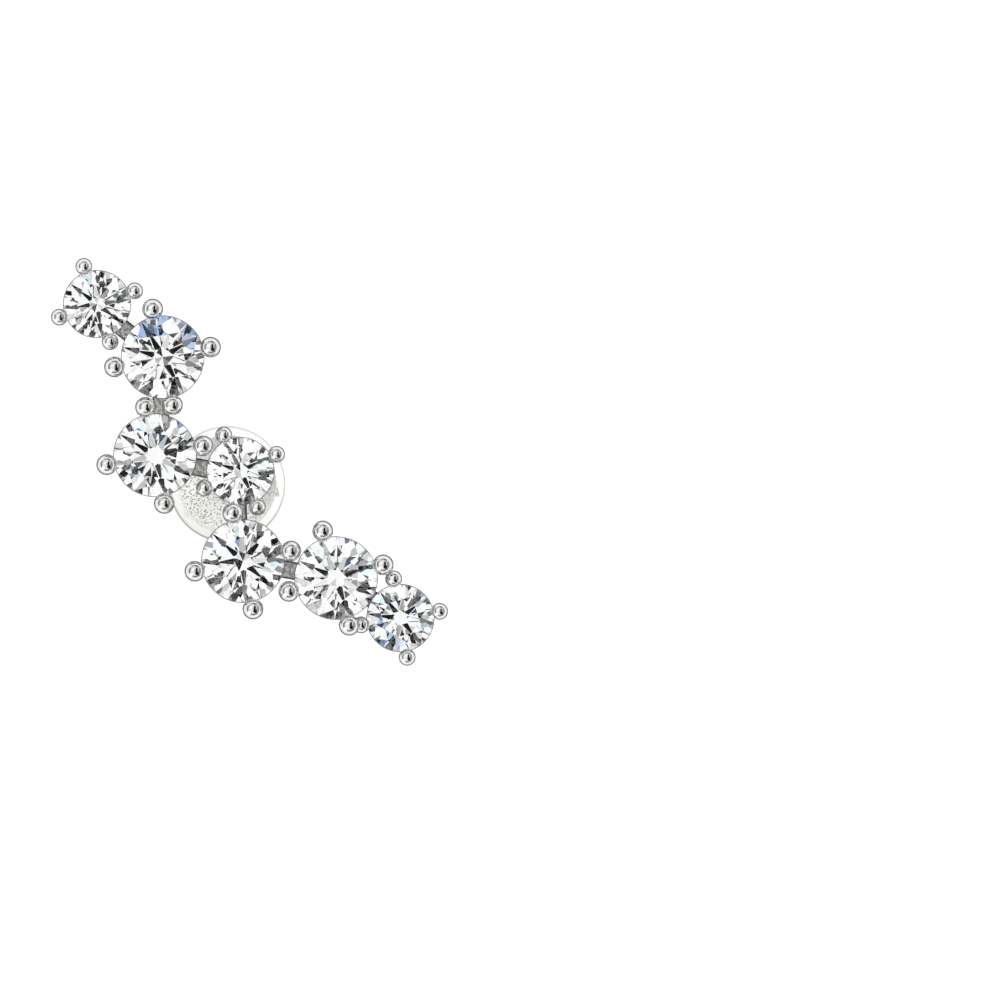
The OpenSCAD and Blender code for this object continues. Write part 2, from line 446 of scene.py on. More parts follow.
class Nodes:
    """The node tree of a finish or of the world."""

    def __init__(self, tree: bpy.types.NodeTree) -> None:
        """Starts from an empty tree."""
        self.tree = tree
        tree.nodes.clear()

    def node(
        self,
        kind: str,
        settings: dict[str, object] | None = None,
        inputs: dict[str | int, object] | None = None,
        output: str | int = 0,
    ) -> Wire:
        """Adds a node of any kind.

        Args:
            kind: the node's type, without ShaderNode in front.
            settings: its properties, which are set first.
            inputs: values or wires of its sockets, by name or number.
            output: the output that is asked for.

        Returns:
            That output.
        """
        node = self.tree.nodes.new("ShaderNode" + kind)
        for name, value in (settings or {}).items():
            setattr(node, name, value)
        for key, value in (inputs or {}).items():
            if isinstance(value, Wire):
                self.tree.links.new(value.socket, node.inputs[key])
            else:
                node.inputs[key].default_value = value
        return Wire(self, node.outputs[output])

    def end(self, kind: str, shader: Wire) -> None:
        """Adds the output node of this kind and joins the shader to it."""
        last = self.tree.nodes.new("ShaderNode" + kind)
        self.tree.links.new(shader.socket, last.inputs["Surface"])

    def place(self) -> Wire:
        """Object coordinates, which are the frame's metres on every finished piece."""
        return self.node("TexCoord", output="Object")

    def vector(self, operation: str, *values: Wire | Vector, output: str = "Vector") -> Wire:
        """Adds a Vector Math node with these values and returns this output of it."""
        return self.node("VectorMath", {"operation": operation}, dict(enumerate(values)), output)

    def past(self, centre: Vector) -> Wire:
        """The way from centre to a point of the surface."""
        return self.vector("SUBTRACT", self.place(), centre)

    def from_axis(self, centre: Vector, axis: Vector) -> Wire:
        """Distance in millimetres from a straight line.

        Args:
            centre: a point of the line.
            axis: its direction, of length one.

        Returns:
            The distance.
        """
        across = self.vector("CROSS_PRODUCT", self.past(centre), axis)
        return self.vector("LENGTH", across, output="Value") / MM

    def along(self, centre: Vector, way: Vector) -> Wire:
        """Distance in millimetres past centre, measured in the direction way."""
        return self.dot(self.past(centre), way) / MM

    def dot(self, vector: Wire, way: Vector) -> Wire:
        """The share of vector that points along way."""
        return self.vector("DOT_PRODUCT", vector, way, output="Value")

    def noise(self, grain_mm: float, detail: float = 2.0) -> Wire:
        """Noise from 0 to 1, with largest grains of this size and this many finer octaves."""
        inputs = {"Vector": self.place(), "Scale": 1 / (grain_mm * MM), "Detail": detail}
        return self.node("TexNoise", inputs=inputs)

    def mix(self, share: Wire, under: Wire | Colour, over: Wire | Colour) -> Wire:
        """A colour with another laid over it.

        Args:
            share: 0 for under and 1 for over.
            under: the colour below.
            over: the colour on top.

        Returns:
            The mixed colour.
        """
        colours = {
            key: colour if isinstance(colour, Wire) else (*colour, 1)
            for key, colour in ((6, under), (7, over))
        }
        return self.node("Mix", {"data_type": "RGBA"}, {"Factor": share, **colours}, output=2)

    def bump(self, height: Wire, depth_mm: float) -> Wire:
        """The normal for a relief from 0 to 1 that is this deep."""
        return self.node("Bump", inputs={"Height": height, "Distance": depth_mm * MM, "Strength": 1.0})

    def principled(self, inputs: dict[str | int, object]) -> None:
        """Ends the tree in a Principled shader with these inputs."""
        self.end("OutputMaterial", self.node("BsdfPrincipled", inputs=inputs))


def new_material(name: str) -> tuple[Material, Nodes]:
    """A material and its node tree, which is still empty.

    Args:
        name: the material's name.

    Returns:
        The material and its nodes.
    """
    material = bpy.data.materials.new(name)
    material.use_nodes = True
    return material, Nodes(material.node_tree)


@dataclass(frozen=True)
class MetalFinish:
    """Bare white metal: polished, as cast or pressed from sheet.

    grain_mm is the size of the marks that its making left, relief_mm their depth, and contrast says how
    strongly they show. Painted shade: where a piece has the attribute EDGE its colour is darkened, for the
    shade along its edges.
    """

    name: str
    dull: Colour
    bright: Colour
    smooth: float
    rough: float
    grain_mm: float
    relief_mm: float
    contrast: float = 1.8
    cloud_grains: float = 6.0
    # Painted shade laid along the marked edges: its dark colour and how much of it covers the metal there.
    edge_shade: Colour = (0.05, 0.048, 0.046)
    edge_shade_share: float = 0.95

    def material(self) -> Material:
        """Builds the material: cloudy colour, uneven gloss and a fine relief."""
        material, nodes = new_material(self.name)
        cloud = nodes.noise(self.grain_mm * self.cloud_grains)
        grain = nodes.noise(self.grain_mm, detail=4.0)
        # Painted shade: the edge attribute says where the colour is darkened for shade.
        edge = nodes.node("Attribute", {"attribute_name": EDGE}, output="Fac")
        marks = (self.contrast * (grain - NOISE_MIDDLE) + cloud).clamped()
        nodes.principled({
            "Base Color": nodes.mix(
                self.edge_shade_share * edge, nodes.mix(marks, self.dull, self.bright), self.edge_shade
            ),
            "Metallic": 1.0,
            "Roughness": self.smooth + (self.rough - self.smooth) * (grain + cloud) / 2,
            "Normal": nodes.bump(grain, self.relief_mm),
        })
        return material


@dataclass(frozen=True)
class CrystalFinish:
    """Clear cut stone: bright, strongly bending and without colour of its own; blue fire is painted into
    the colour of some facets.

    fire is the direction in which the facets face that get the painted fire, and it is zero where there is
    none.
    """

    name: str
    fire: Vector
    clear: Colour = (1.0, 1.0, 1.0)
    cool: Colour = (0.985, 0.995, 1.0)
    # The blue of the painted fire.
    blue: Colour = (0.04, 0.17, 0.52)
    bend: float = 2.16
    drift_mm: float = 1.2
    facet_scale: float = 9.0
    painted_fire_facing: Span = (0.6, 0.725)
    painted_fire_chance: Span = (0.486, 0.557)
    painted_fire_share: float = 0.9

    def material(self) -> Material:
        """Builds the material: glass whose clearness drifts a little, with blue fire painted into some of
        its facets.
        """
        material, nodes = new_material(self.name)
        drift = nodes.noise(self.drift_mm, detail=1.0)
        facet = nodes.node("NewGeometry", output="True Normal")
        chance = nodes.node("TexNoise", inputs={"Vector": facet, "Scale": self.facet_scale})
        # Painted fire: a random share of the facets that face the fire direction get blue laid into their
        # colour.
        lit = nodes.dot(facet, self.fire).ramp(*self.painted_fire_facing) * chance.ramp(*self.painted_fire_chance)
        glass = nodes.mix(drift, self.clear, self.cool)
        nodes.principled({
            "Base Color": nodes.mix(self.painted_fire_share * lit, glass, self.blue),
            "Roughness": 0.0,
            "IOR": self.bend,
            "Transmission Weight": 1.0,
        })
        return material


@dataclass(frozen=True)
class PlasticFinish:
    """Soft half-clear plastic: milky and stippled in the middle, clearer and smooth towards its rim.

    It is milkier on one side of its middle than on the other. A grey ring at its rim is painted shade, the
    dark outline that the clear bead shows.
    """

    name: str = "frosted_plastic"
    pale: Colour = (0.98, 0.985, 0.955)
    creamy: Colour = (0.95, 0.965, 0.91)
    speck: Colour = (0.16, 0.17, 0.13)
    pitch_mm: float = 0.11
    relief_mm: float = 0.03
    cloud_pitches: float = 5.0
    speck_dots: Span = (0.44, 0.24)
    speck_clouds: Span = (0.26, 0.46)
    stippled_r: Span = (2.5, 2.2)
    rim_rough: float = 0.3
    stipple_rough: float = 0.25
    bend: float = 1.42
    milky: float = 0.9
    clear: float = 0.12
    band: float = 0.4
    milky_side_mm: Span = (-1.56, 1.04)
    least_milk: float = 0.05
    mark_milk: float = 0.3
    # Painted shade at the rim: its grey, and the distances from the axis where it starts and where it is
    # full.
    edge: Colour = (0.42, 0.425, 0.41)
    edge_r: Span = (2.72, 2.79)

    def material(self, centre: Vector, axis: Vector, milky_way: Vector) -> Material:
        """Builds the material.

        Args:
            centre: the middle of the disc.
            axis: the direction of its axis.
            milky_way: the direction in which it gets milkier.

        Returns:
            The material.
        """
        material, nodes = new_material(self.name)
        distance = nodes.from_axis(centre, axis)
        inside = distance.ramp(*self.stippled_r)
        # Painted shade: the ring at the rim that turns grey and less clear.
        rim = distance.ramp(*self.edge_r)
        side = nodes.along(centre, milky_way).ramp(*self.milky_side_mm)
        milk = self.band + (1 - self.band) * inside
        milk = milk * (self.least_milk + (1 - self.least_milk) * side)
        cloud = nodes.noise(self.pitch_mm * self.cloud_pitches)
        inputs = {"Vector": nodes.place(), "Scale": 1 / (self.pitch_mm * MM)}
        dots = nodes.node("TexVoronoi", {"feature": "F1"}, inputs, output="Distance")
        specks = dots.ramp(*self.speck_dots) * inside * cloud.ramp(*self.speck_clouds)
        ground = nodes.mix(cloud, self.pale, self.creamy)
        body = (milk + self.mark_milk * (rim + specks)).clamped()
        nodes.principled({
            "Base Color": nodes.mix(rim, nodes.mix(specks, ground, self.speck), self.edge),
            "Roughness": self.rim_rough + self.stipple_rough * inside,
            "IOR": self.bend,
            "Alpha": self.clear + (self.milky - self.clear) * body,
            "Normal": nodes.bump(dots * inside, self.relief_mm),
        })
        return material


@dataclass(frozen=True)
class GirdleFinish:
    """The unpolished band round a cut stone."""

    name: str = "ground_girdle"
    dull: Colour = (0.05, 0.05, 0.053)
    bright: Colour = (0.16, 0.16, 0.165)
    grain_mm: float = 0.3
    mottle: Span = (0.333, 0.667)
    smooth: float = 0.6
    rough: float = 0.9

    def material(self) -> Material:
        """Builds the material: dull and grey, with a fine grain."""
        material, nodes = new_material(self.name)
        grain = nodes.noise(self.grain_mm)
        nodes.principled({
            "Base Color": nodes.mix(grain.ramp(*self.mottle), self.dull, self.bright),
            "Roughness": self.smooth + (self.rough - self.smooth) * grain,
        })
        return material


@dataclass(frozen=True)
class FloorFinish:
    """Plain pale paper on a light table, so that shadows on it stay faint."""

    name: str = "pale_floor"
    colour: Colour = (0.95, 0.95, 0.95)
    glow: float = 0.85

    def material(self) -> Material:
        """Builds the material: dull, plain and nearly white."""
        material, nodes = new_material(self.name)
        paper = nodes.node("BsdfDiffuse", inputs={"Color": (*self.colour, 1)})
        light = nodes.node("Emission", inputs={"Color": (*self.colour, 1)})
        shader = nodes.node("MixShader", inputs={0: self.glow, 1: paper, 2: light})
        nodes.end("OutputMaterial", shader)
        return material


POLISHED = MetalFinish(
    "polished_white_metal",
    dull=(0.74, 0.745, 0.76),
    bright=(0.86, 0.862, 0.87),
    smooth=0.04,
    rough=0.08,
    grain_mm=0.12,
    relief_mm=0.001,
)
CAST = MetalFinish(
    "cast_white_metal",
    dull=(0.6, 0.595, 0.585),
    bright=(1.0, 1.0, 0.99),
    smooth=0.22,
    rough=0.5,
    grain_mm=0.17,
    relief_mm=0.1,
    contrast=14.0,
)
PRESSED = MetalFinish(
    "pressed_white_metal",
    dull=(0.88, 0.882, 0.885),
    bright=(0.98, 0.98, 0.985),
    smooth=0.28,
    rough=0.42,
    grain_mm=0.1,
    relief_mm=0.002,
)


def dress(piece: Object, material: Material, body: Body, slot: Finish, *nodes: str) -> Object:
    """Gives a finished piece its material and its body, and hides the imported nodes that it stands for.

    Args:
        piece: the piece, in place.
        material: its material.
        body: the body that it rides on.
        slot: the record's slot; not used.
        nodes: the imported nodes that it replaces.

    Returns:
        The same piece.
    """
    piece.data.materials.clear()
    piece.data.materials.append(material)
    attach(piece, body.value)
    if nodes:
        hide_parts(*nodes)
    return piece


def report(pieces: Sequence[Object]) -> None:
    """Logs the name and the face count of each piece."""
    for piece in pieces:
        log.info("%s: %d faces", piece.name, len(piece.data.polygons))


# Sub-assemblies


@dataclass
class Settings:
    """The seven four-claw baskets, each with ball tips, a base ring and a gallery ring.

    Shares are of the stone's radius.
    """

    claw_share: float = 1.195
    ball_share: float = 0.255
    ball_lift_share: float = 0.18
    wire_share: float = 0.115
    seat_gap: float = 0.06
    base_wire_r: float = 0.27
    base_ring_share: float = 0.53
    gallery_ring_share: float = 0.81
    gallery_wire_share: float = 0.12
    gallery_drop_share: float = 0.41
    gallery_flat: float = 0.94
    filed_back: float = 0.02
    foot_swell: float = 1.1
    swell: float = 1.03
    collar_share: float = 0.35
    neck_share: float = 0.12
    pole_deg: float = 88.0
    cutter_tip_r: float = 0.02
    claws: int = 4
    ball_sides: int = 40
    ball_steps: int = 18
    ring_sides: int = 72
    wire_sides: int = 20

    def build(self, face: Face) -> list[Object]:
        """Models a large and a small basket and copies them to the stones.

        Args:
            face: the earring's face.

        Returns:
            The seven settings.
        """
        polished = POLISHED.material()
        models = {diameter: self.basket(diameter / 2) for diameter in (LARGE_D, SMALL_D)}
        pieces = []
        for number, gem in enumerate(GEMS, start=1):
            piece = copied(models[gem.diameter], f"setting_{number}")
            finished(piece, face.to_frame @ gem.place @ turn(gem.claw_deg), sharp_deg=32)
            pieces.append(dress(piece, polished, Body.EARRING, Finish.WHITE_METAL, "prong_frame"))
        for model in models.values():
            bpy.data.objects.remove(model)
        return pieces

    def basket(self, radius: float) -> Object:
        """One basket about Z, fused from its wires.

        Args:
            radius: the stone's radius.

        Returns:
            The basket.
        """
        basket = self.base_ring(radius)
        combine(basket, self.gallery_ring(radius), "UNION")
        claw = self.claw(radius)
        for number in range(self.claws):
            other = placed(copied(claw, "claw"), turn(360 / self.claws * number))
            combine(basket, other, "UNION")
        bpy.data.objects.remove(claw)
        return basket

    def claw(self, radius: float) -> Object:
        """One claw in the plane y = 0: a tapered wire with a ball, notched for the stone.

        Args:
            radius: the stone's radius.

        Returns:
            The claw.
        """
        cut = Cut(radius)
        foot = Vector((radius * self.base_ring_share, 0, self.base_wire_r))
        tip = Vector((radius * self.claw_share, 0, cut.girdle_top + radius * self.ball_lift_share))
        wire_r = radius * self.wire_share
        ball_r = radius * self.ball_share
        length = (tip - foot).length
        neck_deg = -math.degrees(math.acos(wire_r / ball_r))
        neck = length + ball_r * math.sin(math.radians(neck_deg))
        stations = [
            (0.0, wire_r * self.foot_swell),
            (neck / 2, wire_r * self.swell),
            (neck - ball_r * self.collar_share, wire_r),
            (neck - ball_r * self.neck_share, wire_r * self.swell),
            *arc((length, 0.0), ball_r, neck_deg, self.pole_deg, self.ball_steps),
        ]
        claw = turned("claw", stations, self.ball_sides, pole=True)
        tilt = Vector((0, 0, 1)).rotation_difference(tip - foot).to_matrix().to_4x4()
        placed(claw, Matrix.Translation(foot) @ tilt)
        return combine(claw, self.seat_cutter(cut), "DIFFERENCE")

    def seat_cutter(self, cut: Cut) -> Object:
        """The stone's outline grown by the clearance, which cuts the notches.

        Args:
            cut: the stone's heights.

        Returns:
            The cutter.
        """
        slope = math.tan(math.radians(cut.pavilion_deg))
        grow = self.seat_gap / math.cos(math.radians(cut.pavilion_deg))
        stations = [
            (cut.culet_h - grow + self.cutter_tip_r * slope, self.cutter_tip_r),
            (cut.girdle_low - grow + self.seat_gap * slope, cut.radius + self.seat_gap),
            (cut.girdle_top + self.seat_gap / 2, cut.radius + self.seat_gap),
            (cut.table_h + self.seat_gap, cut.radius * cut.table_share),
        ]
        return turned("seat_cutter", stations, self.ring_sides * 2)

    def ring(self, name: str, radius: float, wire_r: float) -> Object:
        """A ring of round wire about Z.

        Args:
            name: the ring's name.
            radius: its radius to the middle of the wire.
            wire_r: the wire's radius.

        Returns:
            The ring.
        """
        bpy.ops.object.select_all(action="DESELECT")
        bpy.ops.mesh.primitive_torus_add(
            major_segments=self.ring_sides,
            minor_segments=self.wire_sides,
            major_radius=radius,
            minor_radius=wire_r,
            location=(0, 0, 0),
        )
        return added(name)

    def base_ring(self, radius: float) -> Object:
        """The ring at the back, filed flat where it lies against the ear.

        Args:
            radius: the stone's radius.

        Returns:
            The ring.
        """
        ring = self.ring("base_ring", radius * self.base_ring_share, self.base_wire_r)
        placed(ring, Matrix.Translation((0, 0, self.base_wire_r)))
        with editing(ring):
            bpy.ops.mesh.bisect(
                plane_co=(0, 0, self.filed_back),
                plane_no=(0, 0, 1),
                use_fill=True,
                clear_inner=True,
            )
        return ring

    def gallery_ring(self, radius: float) -> Object:
        """The thinner ring under the girdle, slightly flattened.

        Args:
            radius: the stone's radius.

        Returns:
            The ring.
        """
        ring_r, wire_r = radius * self.gallery_ring_share, radius * self.gallery_wire_share
        ring = self.ring("gallery_ring", ring_r, wire_r)
        with editing(ring):
            bpy.ops.transform.resize(value=(1, 1, self.gallery_flat), center_override=(0, 0, 0))
        height = Cut(radius).girdle_low - radius * self.gallery_drop_share
        return placed(ring, Matrix.Translation((0, 0, height)))


@dataclass
class LinkBars:
    """The six flat bars at the back that join neighbouring baskets.

    shifts are how far each lies to the left of the line between its stones, seen from the first.
    """

    width: float = 0.88
    shifts: tuple[float, ...] = (-0.13, 0.08, -0.2, -0.19, -0.03, 0.03)
    thickness: float = 0.44
    back: float = 0.06
    edge_r: float = 0.05
    edge_steps: int = 3
    skin_cuts: int = 11
    shaded_edge_width: float = 0.06

    def build(self, face: Face) -> list[Object]:
        """Makes a bar between each two neighbours.

        Args:
            face: the earring's face.

        Returns:
            The bars.
        """
        cast = CAST.material()
        pieces = []
        for number, (start, end, shift) in enumerate(zip(GEMS, GEMS[1:], self.shifts), start=1):
            run, climb = end.right - start.right, end.up - start.up
            bar = self.bar(f"link_bar_{number}", math.hypot(run, climb))
            heading = math.degrees(math.atan2(climb, run))
            place = start.place @ turn(heading) @ Matrix.Translation((0, shift, 0))
            finished(bar, face.to_frame @ place, sharp_deg=50)
            pieces.append(dress(bar, cast, Body.EARRING, Finish.WHITE_METAL, "prong_frame"))
        return pieces

    def bar(self, name: str, length: float) -> Object:
        """One cast bar along X with softened edges, an uneven skin and painted shade marked along its long
        sides.

        Args:
            name: the bar's name.
            length: its length.

        Returns:
            The bar.
        """
        bpy.ops.object.select_all(action="DESELECT")
        bpy.ops.mesh.primitive_cube_add(size=1, location=(0, 0, 0))
        bar = added(name)
        size = Matrix.Diagonal((length, self.width, self.thickness, 1))
        middle = Matrix.Translation((length / 2, 0, self.back + self.thickness / 2))
        placed(bar, middle @ size)
        with editing(bar):
            bpy.ops.mesh.bevel(offset=self.edge_r, segments=self.edge_steps, affect="EDGES")
            bpy.ops.mesh.select_all(action="SELECT")
            bpy.ops.mesh.subdivide(number_cuts=self.skin_cuts)
        # Painted shade: the edge attribute rises to 1 in a narrow strip along each long side, where the
        # metal's colour is darkened for the shadow of the stones over the bar.
        edge = bar.data.attributes.new(EDGE, "FLOAT", "POINT")
        for value, vertex in zip(edge.data, bar.data.vertices):
            inside = (self.width / 2 - abs(vertex.co.y)) / self.shaded_edge_width
            value.value = max(0.0, min(1.0, 2 - inside))
        return bar


@dataclass
class EarPost:
    """The straight ear post, its friction groove and the round plate that it is soldered to."""

    right: float = -0.70
    up: float = -0.64
    radius: float = 0.4
    length: float = 11.0
    tip_r: float = 0.2
    groove_at: float = 1.6
    groove_depth: float = 0.08
    groove_r: float = 0.6
    pad_r: float = 0.68
    pad_back: float = 0.1
    pad_front: float = 0.46
    pad_edge: float = 0.04
    solder_r: float = 0.14
    tip_from_deg: float = -80.0
    arc_steps: int = 6
    groove_steps: int = 8
    sides: int = 56

    @property
    def place(self) -> Matrix:
        """The post's axis on the face."""
        return Matrix.Translation((self.right, self.up, 0))

    def build(self, face: Face) -> list[Object]:
        """Turns the post and its plate as one piece.

        Args:
            face: the earring's face.

        Returns:
            The post.
        """
        tip, tip_r = -self.length, self.radius - self.tip_r
        reach = math.degrees(math.acos(1 - self.groove_depth / self.groove_r))
        groove = (tip + self.groove_at, self.radius + self.groove_r - self.groove_depth)
        solder = (self.solder_r, self.radius + self.solder_r)
        fillet = arc(solder, self.solder_r, 180, 270, self.arc_steps)
        stations = [
            (tip, tip_r),
            *arc((tip + self.tip_r, tip_r), self.tip_r, self.tip_from_deg, 0, self.arc_steps),
            *arc(groove, self.groove_r, 180 + reach, 180 - reach, self.groove_steps),
            *[(self.pad_back - height, distance) for height, distance in fillet],
            (self.pad_back, self.pad_r - self.pad_edge),
            (self.pad_back + self.pad_edge, self.pad_r),
            (self.pad_front - self.pad_edge, self.pad_r),
            (self.pad_front, self.pad_r - self.pad_edge),
        ]
        post = turned("ear_post", stations, self.sides)
        finished(post, face.to_frame @ self.place, sharp_deg=38)
        return [dress(post, POLISHED.material(), Body.EARRING, Finish.WHITE_METAL, "prong_frame")]


@dataclass
class Stones:
    """The seven cut stones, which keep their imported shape, and the ground bands round them."""

    nodes: dict[str, Object]
    band_gap: float = 0.004
    band_t: float = 0.036
    band_sides: int = 96

    def build(self, face: Face) -> list[Object]:
        """Gives each imported stone the crystal finish and a band.

        Args:
            face: the earring's face.

        Returns:
            The stones and their bands.
        """
        ground = GirdleFinish().material()
        pieces = []
        for number, gem in enumerate(GEMS, start=1):
            stone = self.nodes[gem.node]
            crystal = CrystalFinish(f"crystal_{number}", face.direction(*gem.fire)).material()
            for slot in stone.material_slots:
                slot.material = crystal
            band = self.band(f"girdle_band_{number}", Cut(gem.radius))
            finished(band, face.to_frame @ gem.place, sharp_deg=38)
            pieces += [stone, dress(band, ground, Body.EARRING, Finish.CRYSTAL)]
        return pieces

    def band(self, name: str, cut: Cut) -> Object:
        """The thin band round one girdle.

        Args:
            name: the band's name.
            cut: the stone's heights.

        Returns:
            The band.
        """
        outside = cut.radius + self.band_gap + self.band_t
        band = turned(name, [(cut.girdle_low, outside), (cut.girdle_top, outside)], self.band_sides)
        inside = cut.radius + self.band_gap
        bore = turned("bore", [(0, inside), (2 * cut.girdle_top, inside)], self.band_sides)
        return combine(band, bore, "DIFFERENCE")


@dataclass
class SoftDisc:
    """The frosted disc on the post: a thin web, a round bead at its rim and a thicker hub."""

    post: EarPost
    lobe_gap: float = 5.4
    radius: float = 2.85
    bead_r: float = 0.45
    web_t: float = 0.6
    hub_r: float = 1.0
    hub_flat: float = 0.1
    hub_edge: float = 0.03
    hub_draft: float = 0.02
    foot_h: float = 0.05
    foot_run: float = 0.08
    slide_gap: float = 0.05
    lead_in: float = 0.08
    milky_way: Way = (-0.6, -0.8, 0.0)
    sides: int = 128
    bead_steps: int = 40

    @property
    def middle(self) -> float:
        """Distance of the disc's middle plane behind the flat back."""
        return self.lobe_gap + self.bead_r

    def build(self, face: Face) -> list[Object]:
        """Turns the disc, drills it and rounds its mouth.

        Args:
            face: the earring's face.

        Returns:
            The disc.
        """
        half = self.web_t / 2
        bead_deg = math.degrees(math.asin(half / self.bead_r))
        bead_start = 180 - bead_deg
        edge = self.radius - self.bead_r
        lower = [
            (-self.bead_r, self.hub_r - self.hub_flat),
            (-self.bead_r + self.hub_edge, self.hub_r - self.hub_edge),
            (-half - self.foot_h, self.hub_r + self.hub_draft),
            (-half, self.hub_r + self.foot_run),
        ]
        bead = arc((0.0, edge), self.bead_r, -bead_start, bead_start, self.bead_steps)
        upper = [(-height, distance) for height, distance in reversed(lower)]
        disc = turned("soft_disc", [*lower, *bead, *upper], self.sides)
        combine(disc, self.drill(), "DIFFERENCE")
        place = face.to_frame @ self.post.place @ Matrix.Translation((0, 0, -self.middle))
        finished(disc, place, sharp_deg=40)
        out, milky_way = face.direction(0, 0, 1), face.direction(*self.milky_way)
        finish = PlasticFinish().material(place.translation, out, milky_way)
        return [dress(disc, finish, Body.CLUTCH, Finish.FROSTED, "clear_disc")]

    def drill(self) -> Object:
        """Cutter for the bore, wider at both mouths."""
        bore_r = self.post.radius + self.slide_gap
        mouth = self.bead_r - self.lead_in
        wide = bore_r + self.lead_in * 2
        stations = [
            (-self.bead_r - self.lead_in, wide),
            (-mouth, bore_r),
            (mouth, bore_r),
            (self.bead_r + self.lead_in, wide),
        ]
        return turned("drill", stations, self.post.sides)


@dataclass
class FrictionNut:
    """The nut behind the disc: a round plate with a milled edge and two wings of curled sheet."""

    post: EarPost
    front: float = 6.35
    radius: float = 2.45
    plate_t: float = 0.28
    heading_deg: float = 13.0
    slide_gap: float = 0.05
    wing_r: float = 0.95
    wing_wall: float = 0.24
    wing_width: float = 2.3
    wing_sink: float = 0.08
    wing_side_gap: float = 0.02
    wing_turn_deg: float = 285.0
    milling_r: float = 0.09
    milling_grooves: int = 60
    edge_r: float = 0.05
    edge_steps: int = 3
    collar_width: float = 0.14
    collar_foot: float = 0.224
    collar_lip: float = 0.14 / 3
    collar_height: float = 0.1
    cut_reach: float = 1.0
    sides: int = 180
    rod_sides: int = 20
    wing_steps: int = 60

    @property
    def bore_r(self) -> float:
        """Radius of the hole for the post."""
        return self.post.radius + self.slide_gap

    def build(self, face: Face) -> list[Object]:
        """Makes the plate, fuses the wings to it and turns it to face the disc.

        Args:
            face: the earring's face.

        Returns:
            The nut.
        """
        nut = self.plate()
        for side in (0, 180):
            combine(nut, placed(self.wing(), turn(side)), "UNION")
        behind = Matrix.Translation((0, 0, -self.front)) @ turn(180, "X") @ turn(-self.heading_deg)
        finished(nut, face.to_frame @ self.post.place @ behind, sharp_deg=34)
        return [dress(nut, PRESSED.material(), Body.CLUTCH, Finish.NUT_METAL, "ear_nut")]

    def plate(self) -> Object:
        """The base plate: a thick disc with a milled edge and a collar round its bore."""
        rim, top = self.radius, self.plate_t + self.collar_height
        stations = [
            (0.0, rim - self.edge_r),
            (self.edge_r, rim),
            (self.plate_t - self.edge_r, rim),
            (self.plate_t, rim - self.edge_r),
            (self.plate_t, self.bore_r + self.collar_foot),
            (top, self.bore_r + self.collar_width),
            (top, self.bore_r + self.collar_lip),
        ]
        plate = turned("friction_nut", stations, self.sides)
        combine(plate, self.milling_cutter(), "DIFFERENCE")
        bore = self.rod("bore", self.bore_r, self.post.sides)
        return combine(plate, bore, "DIFFERENCE")

    def rod(self, name: str, radius: float, sides: int) -> Object:
        """A round rod about Z that cuts right through the plate."""
        return turned(name, [(-self.cut_reach, radius), (self.cut_reach, radius)], sides)

    def milling_cutter(self) -> Object:
        """The ring of small round rods that mill the plate's edge, as one cutter."""
        reach = self.radius + self.milling_r / 3
        rod = self.rod("rod", self.milling_r, self.rod_sides)
        rods = []
        for groove in range(self.milling_grooves):
            place = turn(groove * 360 / self.milling_grooves) @ Matrix.Translation((reach, 0, 0))
            rods.append(placed(copied(rod, "rod"), place))
        bpy.data.objects.remove(rod)
        choose(*rods)
        bpy.ops.object.join()
        return rods[0]

    def wing(self) -> Object:
        """One wing: a strip of sheet curled round and in to the post."""
        middle_r = self.wing_r - self.wing_wall / 2
        height = self.plate_t + self.wing_r - self.wing_sink
        bpy.ops.object.select_all(action="DESELECT")
        bpy.ops.mesh.primitive_plane_add(size=self.wing_width, location=(0, 0, 0))
        wing = added("wing")
        with editing(wing):
            bpy.ops.mesh.select_mode(type="VERT")
            bpy.ops.mesh.select_all(action="DESELECT")
            bpy.ops.object.mode_set(mode="OBJECT")
            for vertex in wing.data.vertices:
                vertex.select = vertex.co.x > 0
            bpy.ops.object.mode_set(mode="EDIT")
            bpy.ops.mesh.delete(type="VERT")
            bpy.ops.mesh.select_all(action="SELECT")
            bpy.ops.transform.translate(value=(self.wing_width / 2, 0, -middle_r))
            bpy.ops.mesh.spin(
                steps=self.wing_steps,
                angle=math.radians(self.wing_turn_deg),
                center=(0, 0, 0),
                axis=(0, -1, 0),
            )
        outward(wing)
        modify(wing, "SOLIDIFY", thickness=self.wing_wall, offset=0.0)
        modify(wing, "BEVEL", width=self.edge_r, segments=self.edge_steps, limit_method="ANGLE")
        aside = self.bore_r + self.wing_side_gap + self.wing_r
        return placed(wing, Matrix.Translation((aside, 0, height)))


# Studio


@dataclass(frozen=True)
class Ray:
    """The shares of a ray's direction on the face: to the right, up and towards the camera."""

    right: Wire
    up: Wire
    out: Wire


@dataclass(frozen=True)
class Patch:
    """An oval patch of the tent's front: its middle and half widths as shares of a ray's direction."""

    right: float
    up: float
    wide: float
    high: float
    edge: float = 0.35

    def mask(self, ray: Ray) -> Wire:
        """1 inside the patch, 0 outside and behind the earring."""
        across = (ray.right - self.right) / self.wide
        along = (ray.up - self.up) / self.high
        return (across * across + along * along).ramp(1, 1 - self.edge) * ray.out.ramp(0, HORIZON)


def masked(patches: Sequence[Patch], ray: Ray) -> Wire:
    """1 inside any of some patches, 0 outside all of them."""
    first, *others = (patch.mask(ray) for patch in patches)
    return sum(others, first).clamped()


